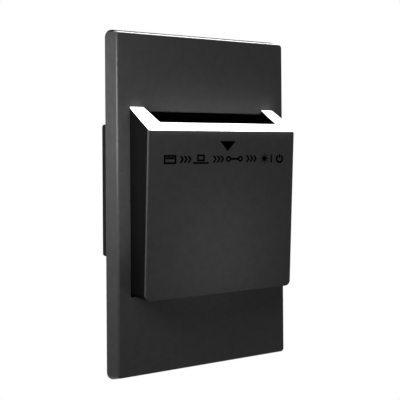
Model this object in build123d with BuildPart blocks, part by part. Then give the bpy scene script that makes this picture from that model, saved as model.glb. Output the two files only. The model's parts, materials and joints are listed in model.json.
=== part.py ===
from build123d import *
from math import cos, hypot, pi, radians, sin, tan
import os

# Hotel key card switch for a one-gang wall box, in millimetres.
# X is to the right seen from the front, Z is up, and Y goes into the wall.
# The wall's surface is the plane Y = 0 and the origin is the plate's centre on it.

os.makedirs("parts", exist_ok=True)

# Clearances shared by all pieces
overrun = 1.0             # how far a cut runs past what it cuts
seam = 0.1                # visible joint between two mouldings
fit_gap = 0.05            # round a pin, screw or post in its hole
free_gap = 0.3            # beside a piece that moves

# The card that the switch takes
card_w = 53.98
card_t = 0.76
card_side_gap = 0.96      # beside the card in the slot

# Wall plate
plate_side = 7.35         # from the pocket's side to the plate's edge
plate_inset = 1.9         # draft of the edges, back outline to front face
plate_wall = 2.2
plate_corner_r = 3.2      # at the wall
plate_face_corner_r = 1.2
plate_arris_r = 0.9
snap_post_r = 1.5
snap_post_in_x = 4.0      # from the mounting frame's side
snap_post_in_z = 7.0      # from the mounting frame's end
snap_post_end = 0.5       # how far a snap post stops short of the wall

# Card pocket on the plate
pocket_draft = 0.15       # of each side, from the plate to the pocket's front
pocket_out_top = 15.0     # how far it stands out of the plate's face
pocket_out_bottom = 11.5
pocket_wall = 2.0
pocket_bottom_z = -35.3
pocket_corner_r = 2.2
rim_z_plate = 37.4        # top of the lit rim where it meets the plate
rim_z_front = 28.5
rim_bar_d = 3.5           # lit bar across the pocket's front
rim_bar_rise = 0.57       # of the bar's inner edge above the straight line from plate to front
mouth_in = 1.0            # from the bar's inner edge to the guide's own mouth behind it
rim_t = 0.4               # thickness of the rim over the pocket's walls
slot_front_in = 1.0       # how far the slot narrows on each side up to the rim's front bar
slot_top_drop = 1.6       # upper edge of the slot in the plate, below the rim's top
panel_t = 1.2
panel_arris_r = 0.8
flange_t = 1.2
flange_w = 3.0
flange_top_z = 26.0
stud_r = 0.9              # posts that hold the pocket's flange
stud_z = 18.0
stud_low_x = 24.0
push_nut_r = 1.9
push_nut_t = 0.5

# Light guide below its rim
tongue_t = 2.0
tongue_h = 7.0

# Card guide
guide_wall = 1.2
channel_t = 4.4
neck_z = 8.0              # where the funnel has narrowed to the channel
funnel_drop = 2.2         # where the funnel starts to narrow, below the rim's front
nose_side_gap = 0.8       # beside the lever's nose in its window

# Mounting strap and the screws in it
strap_t = 1.2
strap_side = 0.75         # how much narrower than the housing on each side
strap_over = 3.98         # past the mounting frame's screws
strap_window_gap = 2.5    # round the lever's ears and the header's pins
box_screw_gap = 5.17      # from the housing's end to the screw's retainer
box_screw_r = 1.75
box_screw_neck_r = 1.4    # under the head, inside the retainer
box_screw_reach = 20.0    # length behind the wall's surface
box_screw_head_r = 3.45
box_screw_head_gap = 0.2  # between the head and the pocket's flange
retainer_w = 8.0
retainer_t = 0.6
ground_tab_w = 9.0
ground_tab_side = 1.5     # from the strap's side
ground_tab_l = 9.5
ground_screw_r = 1.9
ground_head_r = 4.0
ground_head_h = 2.0

# Mounting frame that the plate snaps onto
frame_t = 1.3
frame_side_gap = 0.35     # to the inside of the plate's drafted edge
frame_end_gap = 9.6       # from the strap's end to the frame's rim
frame_rim_w = 2.0
frame_corner_r = 2.0
frame_screw_r = 1.5
frame_screw_head_r = 2.9
frame_screw_head_h = 0.8
frame_screw_l = 5.0

# Rear housing
housing_w = 47.2
housing_z = 3.5           # centre of the housing above the plate's centre
housing_wall = 1.8
housing_corner_r = 1.2
boss_r = 2.75
boss_sink = 0.6           # how far a boss merges into the walls beside it
housing_screw_r = 1.5
housing_screw_head_r = 2.6
housing_screw_head_h = 1.1
housing_screw_l = 18.0
vent_count = 6
vent_w = 1.2
vent_h = 12.0
vent_pitch = 3.4
vent_z = 18.0

# Terminals at the back of the housing
pole_count = 4
pole_wall = 1.1           # beside each clamp
terminal_side_gap = 2.05  # from the block to the housing's side
terminal_gap = 3.8        # from the housing's bosses to the block
terminal_l = 15.8
terminal_h = 12.0
clamp_l = 8.0
clamp_hole_w = 4.6
clamp_screw_r = 1.5
clamp_head_r = 2.3
clamp_head_h = 1.6
wire_hole_r = 2.1
driver_hole_r = 2.6
bar_w = 3.0
bar_t = 0.8

# Chassis that closes the housing
chassis_t = 2.2
ear_w = 2.0
ear_front = 1.4
ear_back = 3.2
post_r = 2.2

# Card lever
pivot_y = 0.6
pivot_z = 9.0
lever_pin_r = 1.0
lever_hub_r = 2.8
lever_w = 8.4
lever_arm_t = 2.2
nose_w = 5.0
nose_reach = 11.2         # from the pivot to the nose's tip, towards the front
nose_drop = 16.5          # from the pivot down to the nose's tip
nose_tip_r = 0.8
nose_root_z = -0.5
nose_foot = 3.5           # how far the arm goes on below the nose's tip
lever_travel_deg = 11.0
paddle_over = 2.1         # past the switch's plunger
seat_w = 1.3
seat_z = 1.0
seat_h = 4.0

# Lever spring
spring_wire_r = 0.25
spring_turns = 3
spring_pitch = 0.95
spring_leg = 5.5

# Limit switch
switch_w = 5.8
switch_l = 12.8
switch_d = 6.1
switch_wall = 0.7
switch_gap_ear = 0.5
switch_front_y = 1.9
plunger_r = 0.8
plunger_collar_r = 1.2
plunger_collar_t = 0.5
plunger_foot_r = 0.4
blade_t = 0.25
blade_w = 2.4
contact_r = 0.6
contact_t = 0.35
switch_pin_w = 0.8

# Main circuit board
board_t = 1.6
board_gap = 0.4           # from the housing's walls
board_screw_r = 1.0
board_screw_head_r = 1.9
board_screw_head_h = 1.0
board_screw_side = 0.65   # from a post to the housing's side
board_screw_under = 3.0   # below the relay
board_screw_over = 2.6    # above the relay
pin_out = 1.2             # how far a soldered pin stands out of the board

# Power relay
relay_w = 12.7
relay_l = 29.0
relay_h = 17.0
relay_side_gap = 1.25     # from the housing's side
relay_gap = 2.6           # above the terminal block
relay_base_t = 2.0
relay_wall = 0.8
yoke_t = 1.2
yoke_w = 8.0
coil_flange_t = 0.8
core_proud = 0.6          # how far the core stands out of the bobbin
core_r = 2.0
bobbin_t = 0.4
winding_under = 0.5       # how far the winding stays under the bobbin's flanges
pole_gap = 0.7
armature_t = 1.0
armature_l = 14.0
armature_travel_deg = 4.0
relay_blade_t = 0.3
relay_blade_w = 3.6
relay_contact_r = 1.4
relay_contact_t = 0.8
relay_contact_in = 3.9    # from the case's end to the contacts

# Loose parts on the board's back
cap_w = 8.5
cap_l = 18.0
cap_h = 15.0
cap_side_gap = 2.6        # from the housing's side
electro_r = 4.0
electro_h = 12.0
electro_z = -4.6
varistor_r = 4.4
varistor_t = 3.6
varistor_z = -5.4
varistor_pin_x = 2.2
varistor_gap = 0.45       # from the limit switch to the nearer pin
fuse_r = 2.5
fuse_l = 15.0
fuse_x = -3.0
fuse_gap = 5.4            # from the relay's end to the fuse's middle
fuse_top_gap = 5.3        # from there to the housing's inside
fuse_lift = 4.0
fuse_cap_l = 2.6
clip_t = 0.5
bridge_w = 6.4
bridge_l = 8.6
bridge_h = 3.4
bridge_z = 16.0
chip_w = 5.0
chip_l = 5.2
chip_h = 1.6
chip_z = 5.6
resistor_r = 1.2
resistor_l = 6.5
resistor_count = 2
resistor_z = -12.0
resistor_pitch = 3.2
lead_r = 0.35

# Lamp board and its header
lamp_board_t = 0.6
lamp_board_h = 5.0
lamp_tab_w = 9.0
lamp_tab_under = 3.0      # below the header's pins
lamp_w = 2.0
lamp_h = 3.0
lamp_t = 0.7
header_pitch = 2.54
header_pin_w = 0.64
header_z = 22.0
header_h = 2.5
header_d = 2.6

# Stack behind the plate's face, from the wall outwards
frame_y = -strap_t - frame_t
flange_back_y = frame_y - lamp_board_t - seam
plate_inner_y = flange_back_y - flange_t
face_y = plate_inner_y - plate_wall
plate_depth = -face_y
box_screw_head_h = -flange_back_y - strap_t - box_screw_head_gap
pocket_top_y = face_y - pocket_out_top
pocket_bottom_y = face_y - pocket_out_bottom

# Housing round what it holds
housing_h = 2 * housing_wall + seam + terminal_h + relay_gap + relay_l + fuse_gap + fuse_top_gap
housing_depth = chassis_t + housing_screw_l + terminal_gap + terminal_l + seam + housing_wall
housing_low_z = housing_z - housing_h / 2
housing_top_z = housing_z + housing_h / 2
housing_in_x = housing_w / 2 - housing_wall
housing_in_low_z = housing_low_z + housing_wall
housing_in_top_z = housing_top_z - housing_wall
boss_x = housing_in_x - boss_r + boss_sink
boss_z_offset = housing_h / 2 - housing_wall - boss_r + boss_sink
corner_bosses = [(sx * boss_x, housing_z + sz * boss_z_offset) for sx in (-1, 1) for sz in (-1, 1)]
terminal_low_z = housing_in_low_z + seam
terminal_back_y = housing_depth - housing_wall - seam
terminal_front_y = terminal_back_y - terminal_l
terminal_half_w = housing_in_x - terminal_side_gap
relay_low_z = terminal_low_z + terminal_h + relay_gap
relay_top_z = relay_low_z + relay_l
fuse_z = relay_top_z + fuse_gap

# Strap, mounting frame and plate round the housing and the card
box_screw_z = housing_top_z + box_screw_gap + retainer_w / 2
frame_screw_z = box_screw_z + box_screw_head_r + free_gap + frame_screw_head_r + seam
box_screws = [(0, sz * box_screw_z) for sz in (-1, 1)]
frame_screws_at = [(0, sz * frame_screw_z) for sz in (-1, 1)]
strap_w = housing_w - 2 * strap_side
strap_h = 2 * (frame_screw_z + strap_over)
rim_arm_w = pocket_wall + pocket_draft + fit_gap + tongue_t + free_gap + guide_wall
slot_half_w = card_w / 2 + card_side_gap
pocket_w_plate = 2 * (slot_half_w + rim_arm_w)
frame_in_plate = plate_wall + plate_inset / 2 + frame_side_gap
plate_w = pocket_w_plate + 2 * plate_side
frame_w = plate_w - 2 * frame_in_plate
frame_h = strap_h + 2 * (frame_end_gap + frame_rim_w)
plate_h = frame_h + 2 * frame_in_plate
snap_posts = [(sx * (frame_w / 2 - snap_post_in_x), sz * (frame_h / 2 - snap_post_in_z))
              for sx in (-1, 1) for sz in (-1, 1)]
frame_window_x = boss_x + housing_screw_head_r + free_gap
frame_window_low_z = housing_z - boss_z_offset - housing_screw_head_r - free_gap
frame_window_top_z = housing_z + boss_z_offset + housing_screw_head_r + free_gap

# Pocket, card guide and light guide
rim_slope = (rim_z_plate - rim_z_front) / pocket_out_top
rim_drop = rim_t * hypot(1, rim_slope)
slot_top_z = rim_z_plate - slot_top_drop
bar_back_y = pocket_top_y + rim_bar_d
mouth_front_y = bar_back_y + mouth_in
slot_front_half_w = slot_half_w - slot_front_in
funnel_z = rim_z_front - funnel_drop
guide_back_y = plate_inner_y + fit_gap
channel_front_y = guide_back_y - channel_t
guide_floor_z = pocket_bottom_z + pocket_wall + seam
lamp_x = slot_half_w + guide_wall + free_gap + tongue_t / 2
lamp_board_z = frame_window_top_z + free_gap + fit_gap
lamp_board_front_y = frame_y - lamp_board_t
lamps_at = [(sx * lamp_x, lamp_board_z + lamp_board_h / 2) for sx in (-1, 1)]
header_xs = [i * header_pitch for i in (-1, 0, 1)]

# Card lever, its ears and the limit switch beside them
ear_gap = free_gap + seam
right_ear = (lever_w / 2 + ear_gap, lever_w / 2 + ear_gap + ear_w)
spring_room = spring_turns * spring_pitch + 2 * spring_wire_r + 2 * ear_gap
left_ear = (-lever_w / 2 - spring_room - ear_w, -lever_w / 2 - spring_room)
spring_r = chassis_t + fit_gap + spring_wire_r - pivot_y
lever_arm_l = nose_drop + nose_foot
switch_x = (right_ear[0] + right_ear[1] + switch_w) / 2
switch_x0 = switch_x - switch_w / 2
switch_x1 = switch_x + switch_w / 2
switch_top_z = pivot_z - lever_hub_r - switch_gap_ear
switch_low_z = switch_top_z - switch_l
plunger_z = switch_top_z - switch_wall - free_gap - plunger_collar_r
ear_z = (switch_top_z + free_gap, pivot_z + lever_hub_r)
strap_window_x = strap_window_gap - left_ear[0]
strap_window_z = (pivot_z - lever_arm_l - strap_window_gap, header_z + strap_window_gap)

# Circuit board and what it carries
board_y = switch_front_y + switch_d
board_back_y = board_y + board_t
board_screw_x = housing_in_x - board_screw_side - post_r
board_screws_at = [(sx * board_screw_x, z) for sx in (-1, 1)
                   for z in (relay_low_z - board_screw_under, relay_top_z + board_screw_over)]
relay_x0 = relay_side_gap - housing_in_x
relay_x1 = relay_x0 + relay_w
relay_x = relay_x0 + relay_w / 2
cap_x = housing_in_x - cap_side_gap - cap_w / 2
cap_z = relay_top_z - cap_l / 2
middle_x = (relay_x1 + cap_x - cap_w / 2) / 2
varistor_x = switch_x1 + varistor_gap + lead_r + varistor_pin_x
resistor_zs = [resistor_z - i * resistor_pitch for i in range(resistor_count)]


def pocket_half_w(y):
    """Half the pocket's width at a distance from the wall, with its draft."""
    return pocket_w_plate / 2 - pocket_draft * (y - face_y) / (pocket_top_y - face_y)


def rim_z(y):
    """Height of the lit rim's top."""
    return rim_z_plate + rim_slope * (y - face_y)


window_x = pocket_half_w(plate_inner_y) + seam
flange_studs = [(sx * (window_x + flange_w / 2), sz * stud_z) for sx in (-1, 1) for sz in (-1, 1)]
flange_studs += [(sx * stud_low_x, pocket_bottom_z - seam - flange_w / 2) for sx in (-1, 1)]


def block(x0, x1, y0, y1, z0, z1, mode=Mode.ADD):
    """A box between two values on each axis."""
    with Locations(((x0 + x1) / 2, (y0 + y1) / 2, (z0 + z1) / 2)):
        Box(abs(x1 - x0), abs(y1 - y0), abs(z1 - z0), mode=mode)


def rod_y(x, z, y0, y1, radius, mode=Mode.ADD):
    """A round bar along Y."""
    with Locations(Location((x, (y0 + y1) / 2, z), (90, 0, 0))):
        Cylinder(radius, abs(y1 - y0), mode=mode)


def rod_x(y, z, x0, x1, radius, mode=Mode.ADD):
    """A round bar along X."""
    with Locations(Location(((x0 + x1) / 2, y, z), (0, 90, 0))):
        Cylinder(radius, abs(x1 - x0), mode=mode)


def rod_z(x, y, z0, z1, radius, mode=Mode.ADD):
    """A round bar along Z."""
    with Locations((x, y, (z0 + z1) / 2)):
        Cylinder(radius, abs(z1 - z0), mode=mode)


def side_shape(points, x0, x1, mode=Mode.ADD):
    """A prism along X over an outline given as (y, z) points."""
    with BuildSketch(Plane.YZ.offset(x0)) as outline:
        with BuildLine():
            Polyline(*points, close=True)
        make_face()
    extrude(outline.sketch, amount=x1 - x0, mode=mode)


def screw_y(x, z, seat_y, tip_y, shank_r, head_r, head_h):
    """A slotted screw along Y with its head's underside on seat_y."""
    sense = 1 if tip_y > seat_y else -1
    top_y = seat_y - sense * head_h
    rod_y(x, z, seat_y, tip_y, shank_r)
    rod_y(x, z, top_y, seat_y, head_r)
    slot_half = head_r / 7
    slot_y = top_y + sense * head_h / 2
    end_y = top_y - sense * overrun
    block(x - head_r, x + head_r, end_y, slot_y, z - slot_half, z + slot_half, Mode.SUBTRACT)


# Wall plate, hollow behind, with the pocket's window and its posts
with BuildPart() as wall_plate:
    with BuildSketch(Plane.XZ):
        RectangleRounded(plate_w, plate_h, plate_corner_r)
    with BuildSketch(Plane.XZ.offset(plate_depth)):
        RectangleRounded(plate_w - 2 * plate_inset, plate_h - 2 * plate_inset, plate_face_corner_r)
    loft()
    fillet(wall_plate.faces().sort_by(Axis.Y)[0].edges(), plate_arris_r)
    hollow_share = (plate_depth - plate_wall) / plate_depth
    hollow_r = plate_corner_r - plate_wall
    with BuildSketch(Plane.XZ):
        RectangleRounded(plate_w - 2 * plate_wall, plate_h - 2 * plate_wall, hollow_r)
    with BuildSketch(Plane.XZ.offset(plate_depth - plate_wall)):
        hollow_in = plate_wall + plate_inset * hollow_share
        RectangleRounded(plate_w - 2 * hollow_in, plate_h - 2 * hollow_in, hollow_r)
    loft(mode=Mode.SUBTRACT)
    cut_y = (face_y - overrun, plate_inner_y + overrun)
    block(-window_x, window_x, *cut_y, pocket_bottom_z - seam, slot_top_z, Mode.SUBTRACT)
    notch_z = rim_z_plate - rim_drop + fit_gap
    for side in (-1, 1):
        notch_x = sorted((side * (lamp_x - tongue_t / 2 - fit_gap), side * window_x))
        block(*notch_x, *cut_y, slot_top_z - overrun, notch_z, Mode.SUBTRACT)
    for x, z in snap_posts:
        rod_y(x, z, plate_inner_y, -snap_post_end, snap_post_r)
    for x, z in flange_studs:
        rod_y(x, z, plate_inner_y, flange_back_y + push_nut_t, stud_r)
wall_plate.part.label = "wall_plate"
export_step(wall_plate.part, "parts/wall_plate.step")

# Pocket shell: side walls, floor, and the flange behind the plate
with BuildPart() as pocket_shell:
    shell_top_y = pocket_top_y + panel_t
    with BuildSketch(Plane.XY.offset(pocket_bottom_z)):
        with BuildLine():
            Polyline((-pocket_half_w(flange_back_y), flange_back_y),
                     (-pocket_half_w(pocket_top_y), pocket_top_y),
                     (pocket_half_w(pocket_top_y), pocket_top_y),
                     (pocket_half_w(flange_back_y), flange_back_y), close=True)
        make_face()
    extrude(amount=rim_z_plate - pocket_bottom_z)
    low_edges = pocket_shell.edges().group_by(Axis.Z)[0]
    fillet(low_edges.filter_by(lambda e: abs(e.tangent_at(0).Y) > abs(e.tangent_at(0).X)), pocket_corner_r)
    with BuildSketch(Plane.XY.offset(pocket_bottom_z + pocket_wall)):
        with BuildLine():
            inner_back = pocket_half_w(flange_back_y) - pocket_wall
            inner_front = pocket_half_w(pocket_top_y) - pocket_wall
            Polyline((-inner_back, flange_back_y), (-inner_front, pocket_top_y),
                     (inner_front, pocket_top_y), (inner_back, flange_back_y), close=True)
        make_face()
    extrude(amount=rim_z_plate - pocket_bottom_z, mode=Mode.SUBTRACT)
    wall_top_z = rim_z_plate - rim_drop
    side_shape([(flange_back_y, pocket_bottom_z), (flange_back_y, wall_top_z), (face_y, wall_top_z),
                (shell_top_y, rim_z(shell_top_y) - rim_drop),
                (pocket_bottom_y + panel_t, pocket_bottom_z)],
               -pocket_w_plate, pocket_w_plate, Mode.INTERSECT)
    for side in (-1, 1):
        flange_x = sorted((side * (inner_back + pocket_wall / 2), side * (window_x + flange_w)))
        block(*flange_x, plate_inner_y, flange_back_y, pocket_bottom_z - flange_w, flange_top_z)
    block(-window_x, window_x, plate_inner_y, flange_back_y, pocket_bottom_z - flange_w,
          pocket_bottom_z + pocket_wall / 2)
    for x, z in flange_studs:
        rod_y(x, z, plate_inner_y - fit_gap, flange_back_y + overrun, stud_r + fit_gap, Mode.SUBTRACT)
pocket_shell.part.label = "pocket_shell"
export_step(pocket_shell.part, "parts/pocket_shell.step")

# Front panel of the pocket, leaning in towards the bottom
with BuildPart() as front_panel:
    panel_half_w = pocket_half_w(pocket_top_y)
    panel_top_z = rim_z(pocket_top_y) - rim_drop
    panel_back_top_z = rim_z(pocket_top_y + panel_t) - rim_drop
    side_shape([(pocket_top_y, panel_top_z), (pocket_top_y + panel_t, panel_back_top_z),
                (pocket_bottom_y + panel_t, pocket_bottom_z), (pocket_bottom_y, pocket_bottom_z)],
               -panel_half_w, panel_half_w)
    corners = front_panel.edges().filter_by(lambda e: abs(e.tangent_at(0).Y) > abs(e.tangent_at(0).X)
                                            and abs(e.tangent_at(0).Y) > abs(e.tangent_at(0).Z))
    fillet(corners.group_by(Axis.Z)[0], pocket_corner_r)
    front_face = front_panel.faces().sort_by(Axis.Y)[0]
    top_edge = front_face.edges().sort_by(Axis.Z)[-1]
    fillet(front_face.edges() - [top_edge], panel_arris_r)
front_panel.part.label = "front_panel"
export_step(front_panel.part, "parts/front_panel.step")

# Light guide: the lit rim, the tongue below it and the two tails that reach the lamps
def tongue_outline(y_front, y_back, z_over):
    """The tongue seen from the side, from the rim's underside down."""
    under = rim_drop + tongue_h
    return [(y_front, rim_z(y_front) - z_over), (y_front, rim_z(y_front) - under),
            (y_back, rim_z(y_back) - under), (y_back, rim_z(y_back) - z_over)]


with BuildPart() as light_guide:
    rim_back_y = face_y - fit_gap
    with BuildSketch(Plane.XY.offset(pocket_bottom_z)):
        with BuildLine():
            Polyline((-pocket_half_w(rim_back_y), rim_back_y), (-pocket_half_w(pocket_top_y), pocket_top_y),
                     (pocket_half_w(pocket_top_y), pocket_top_y), (pocket_half_w(rim_back_y), rim_back_y),
                     (slot_half_w, rim_back_y), (slot_front_half_w, bar_back_y),
                     (-slot_front_half_w, bar_back_y), (-slot_half_w, rim_back_y), close=True)
        make_face()
    extrude(amount=plate_h)
    side_shape([(rim_back_y, rim_z(rim_back_y)), (bar_back_y, rim_z(bar_back_y) + rim_bar_rise),
                (pocket_top_y, rim_z(pocket_top_y)),
                (pocket_top_y, rim_z(pocket_top_y) - rim_drop), (rim_back_y, rim_z(rim_back_y) - rim_drop)],
               -pocket_w_plate, pocket_w_plate, Mode.INTERSECT)
    tongue_front_y = pocket_top_y + panel_t + 2 * free_gap
    tongue_back_y = mouth_front_y - guide_wall - seam
    tail_end_y = plate_inner_y + free_gap
    tongue_root = rim_drop / 2
    for side in (-1, 1):
        arm_x = sorted((side * (lamp_x - tongue_t / 2), side * (lamp_x + tongue_t / 2)))
        side_shape(tongue_outline(tongue_front_y, rim_back_y, tongue_root), *arm_x)
        block(*arm_x, rim_back_y, tail_end_y, rim_z(rim_back_y) - rim_drop - tongue_h,
              rim_z(rim_back_y) - rim_drop)
    side_shape(tongue_outline(tongue_front_y, tongue_back_y, tongue_root),
               -lamp_x - tongue_t / 2, lamp_x + tongue_t / 2)
light_guide.part.label = "light_guide"
export_step(light_guide.part, "parts/light_guide.step")

# Card guide: the funnel and channel that the card slides down
with BuildPart() as card_guide:
    guide_back = flange_back_y
    outer_front_y = mouth_front_y - guide_wall
    channel_outer_y = channel_front_y - guide_wall
    side_shape([(guide_back, guide_floor_z), (guide_back, rim_z_plate), (guide_back_y, rim_z_plate),
                (guide_back_y, slot_top_z - seam), (face_y - fit_gap, slot_top_z - seam),
                (face_y - fit_gap, rim_z(face_y - fit_gap) - rim_drop - fit_gap),
                (outer_front_y, rim_z(outer_front_y) - rim_drop - fit_gap), (outer_front_y, funnel_z),
                (channel_outer_y, neck_z), (channel_outer_y, guide_floor_z)],
               -slot_half_w - guide_wall, slot_half_w + guide_wall)
    wide_x = pocket_half_w(flange_back_y) - pocket_wall - fit_gap
    block(-wide_x, wide_x, guide_back_y, guide_back, guide_floor_z, flange_top_z)
    cavity_floor_z = guide_floor_z + guide_wall
    side_shape([(guide_back_y, cavity_floor_z), (guide_back_y, rim_z_plate + overrun),
                (mouth_front_y, rim_z_plate + overrun), (mouth_front_y, funnel_z),
                (channel_front_y, neck_z), (channel_front_y, cavity_floor_z)],
               -slot_half_w, slot_half_w, Mode.SUBTRACT)
    nose_x = nose_w / 2 + nose_side_gap
    nose_low_z = pivot_z - nose_drop - lever_hub_r - nose_tip_r - card_t
    block(-nose_x, nose_x, guide_back_y - fit_gap, guide_back + overrun, nose_low_z - overrun,
          nose_root_z + nose_tip_r + card_t, Mode.SUBTRACT)
    block(-nose_x, nose_x, channel_outer_y - overrun, channel_front_y + fit_gap, nose_low_z,
          pivot_z - nose_drop + lever_hub_r + nose_tip_r, Mode.SUBTRACT)
card_guide.part.label = "card_guide"
export_step(card_guide.part, "parts/card_guide.step")

# Push nuts on the plate's studs, behind the pocket's flange
with BuildPart() as push_nuts:
    for x, z in flange_studs:
        rod_y(x, z, flange_back_y, flange_back_y + push_nut_t, push_nut_r)
    for x, z in flange_studs:
        rod_y(x, z, flange_back_y - overrun, flange_back_y + 2 * overrun, stud_r + fit_gap, Mode.SUBTRACT)
push_nuts.part.label = "push_nuts"
export_step(push_nuts.part, "parts/push_nuts.step")

# Mounting frame, screwed to the strap, with sockets for the plate's snap posts
with BuildPart() as mounting_frame:
    with BuildSketch(Plane.XZ):
        RectangleRounded(frame_w, frame_h, frame_corner_r)
    extrude(amount=strap_t + frame_t)
    block(-frame_w / 2 + frame_rim_w, frame_w / 2 - frame_rim_w, -strap_t, overrun,
          -frame_h / 2 + frame_rim_w, frame_h / 2 - frame_rim_w, Mode.SUBTRACT)
    block(-frame_window_x, frame_window_x, frame_y - overrun, overrun,
          frame_window_low_z, frame_window_top_z, Mode.SUBTRACT)
    socket_r = snap_post_r + frame_rim_w
    for x, z in snap_posts:
        rod_y(x, z, frame_y, 0, socket_r)
    for x, z in snap_posts:
        rod_y(x, z, frame_y - overrun, overrun, snap_post_r + fit_gap, Mode.SUBTRACT)
    for x, z in box_screws:
        rod_y(x, z, frame_y - overrun, overrun, box_screw_head_r + free_gap, Mode.SUBTRACT)
    for x, z in frame_screws_at:
        rod_y(x, z, frame_y - overrun, overrun, frame_screw_r + fit_gap, Mode.SUBTRACT)
mounting_frame.part.label = "mounting_frame"
export_step(mounting_frame.part, "parts/mounting_frame.step")

# Steel mounting strap with its window, screw holes and ground tab
ground_tab_x = ground_tab_side + (ground_tab_w - strap_w) / 2
ground_tab_z = housing_low_z - free_gap
with BuildPart() as mounting_strap:
    with BuildSketch(Plane.XZ):
        RectangleRounded(strap_w, strap_h, plate_corner_r)
        for sz in (-1, 1):
            for sx in (-1, 1):
                with Locations((sx * strap_w / 2, sz * box_screw_z)):
                    SlotOverall(2 * retainer_w, retainer_w / 2, mode=Mode.SUBTRACT)
    extrude(amount=strap_t)
    block(-strap_window_x, strap_window_x, -strap_t - overrun, overrun, *strap_window_z, Mode.SUBTRACT)
    tab_x = (ground_tab_x - ground_tab_w / 2, ground_tab_x + ground_tab_w / 2)
    block(*tab_x, -strap_t, ground_tab_l, ground_tab_z - strap_t, ground_tab_z)
    rod_z(ground_tab_x, ground_tab_l / 2, ground_tab_z - strap_t - overrun, ground_tab_z + overrun,
          ground_screw_r + fit_gap, Mode.SUBTRACT)
    for x, z in box_screws:
        rod_y(x, z, -strap_t - overrun, overrun, box_screw_r + 2 * fit_gap, Mode.SUBTRACT)
    for x, z in frame_screws_at:
        rod_y(x, z, -strap_t - overrun, overrun, frame_screw_r + fit_gap, Mode.SUBTRACT)
    for x, z in corner_bosses:
        rod_y(x, z, -strap_t - overrun, overrun, housing_screw_r + fit_gap, Mode.SUBTRACT)
mounting_strap.part.label = "mounting_strap"
export_step(mounting_strap.part, "parts/mounting_strap.step")

# Two screws into the wall box, necked so that their retainers hold them
with BuildPart() as wall_screws:
    thread_y = retainer_t + free_gap
    for x, z in box_screws:
        screw_y(x, z, -strap_t, thread_y, box_screw_neck_r, box_screw_head_r, box_screw_head_h)
        rod_y(x, z, thread_y, box_screw_reach, box_screw_r)
wall_screws.part.label = "wall_screws"
export_step(wall_screws.part, "parts/wall_screws.step")

# Fibre retainers that keep the wall screws in the strap
with BuildPart() as screw_retainers:
    for x, z in box_screws:
        block(-retainer_w / 2, retainer_w / 2, 0, retainer_t, z - retainer_w / 2, z + retainer_w / 2)
        rod_y(x, z, -overrun, retainer_t + overrun, box_screw_neck_r + fit_gap, Mode.SUBTRACT)
screw_retainers.part.label = "screw_retainers"
export_step(screw_retainers.part, "parts/screw_retainers.step")

# Screws that fix the mounting frame to the strap
with BuildPart() as frame_screws:
    for x, z in frame_screws_at:
        screw_y(x, z, frame_y, frame_y + frame_screw_l, frame_screw_r, frame_screw_head_r, frame_screw_head_h)
frame_screws.part.label = "frame_screws"
export_step(frame_screws.part, "parts/frame_screws.step")

# Green ground screw in the strap's tab
with BuildPart() as ground_screw:
    head_low_z = ground_tab_z - strap_t - ground_head_h
    with BuildSketch(Plane.XY.offset(head_low_z)):
        with Locations((ground_tab_x, ground_tab_l / 2)):
            RegularPolygon(ground_head_r, 6)
    extrude(amount=ground_head_h)
    rod_z(ground_tab_x, ground_tab_l / 2, ground_tab_z - strap_t - ground_head_h / 2,
          housing_low_z - fit_gap, ground_screw_r)
    slot_half = ground_head_r / 8
    block(ground_tab_x - ground_head_r, ground_tab_x + ground_head_r, ground_tab_l / 2 - slot_half,
          ground_tab_l / 2 + slot_half, head_low_z - overrun, head_low_z + ground_head_h / 2, Mode.SUBTRACT)
ground_screw.part.label = "ground_screw"
export_step(ground_screw.part, "parts/ground_screw.step")

# Terminal block, clamps, screws and bars at the back of the housing
pole_pitch = 2 * terminal_half_w / pole_count
pole_xs = [(i - (pole_count - 1) / 2) * pole_pitch for i in range(pole_count)]
clamp_w = pole_pitch - 2 * pole_wall
clamp_z = terminal_low_z + terminal_h / 2
clamp_y = terminal_back_y - clamp_l

with BuildPart() as terminal_block:
    block(-terminal_half_w, terminal_half_w, terminal_front_y, terminal_back_y,
          terminal_low_z, terminal_low_z + terminal_h)
    for x in pole_xs:
        half = clamp_w / 2 + seam
        block(x - half, x + half, clamp_y - clamp_l / 2 - seam, clamp_y + clamp_l / 2 + seam,
              clamp_z - half, clamp_z + half, Mode.SUBTRACT)
        rod_z(x, clamp_y, terminal_low_z - overrun, clamp_z, wire_hole_r, Mode.SUBTRACT)
        rod_y(x, clamp_z, clamp_y, terminal_back_y + overrun, driver_hole_r, Mode.SUBTRACT)
        block(x - bar_w / 2 - fit_gap, x + bar_w / 2 + fit_gap, terminal_front_y - overrun, clamp_y,
              clamp_z - bar_t / 2 - fit_gap, clamp_z + bar_t / 2 + fit_gap, Mode.SUBTRACT)
terminal_block.part.label = "terminal_block"
export_step(terminal_block.part, "parts/terminal_block.step")

with BuildPart() as terminal_clamps:
    for x in pole_xs:
        half = clamp_w / 2
        hole = clamp_hole_w / 2
        block(x - half, x + half, clamp_y - clamp_l / 2, clamp_y + clamp_l / 2, clamp_z - half,
              clamp_z + half)
        block(x - hole, x + hole, clamp_y - hole, clamp_y + hole, clamp_z - half - overrun,
              clamp_z + half + overrun, Mode.SUBTRACT)
        rod_y(x, clamp_z, clamp_y, clamp_y + clamp_l, clamp_screw_r + fit_gap, Mode.SUBTRACT)
terminal_clamps.part.label = "terminal_clamps"
export_step(terminal_clamps.part, "parts/terminal_clamps.step")

with BuildPart() as terminal_screws:
    for x in pole_xs:
        screw_y(x, clamp_z, clamp_y + clamp_l / 2, clamp_y + clamp_hole_w / 2, clamp_screw_r,
                clamp_head_r, clamp_head_h)
terminal_screws.part.label = "terminal_screws"
export_step(terminal_screws.part, "parts/terminal_screws.step")

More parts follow.
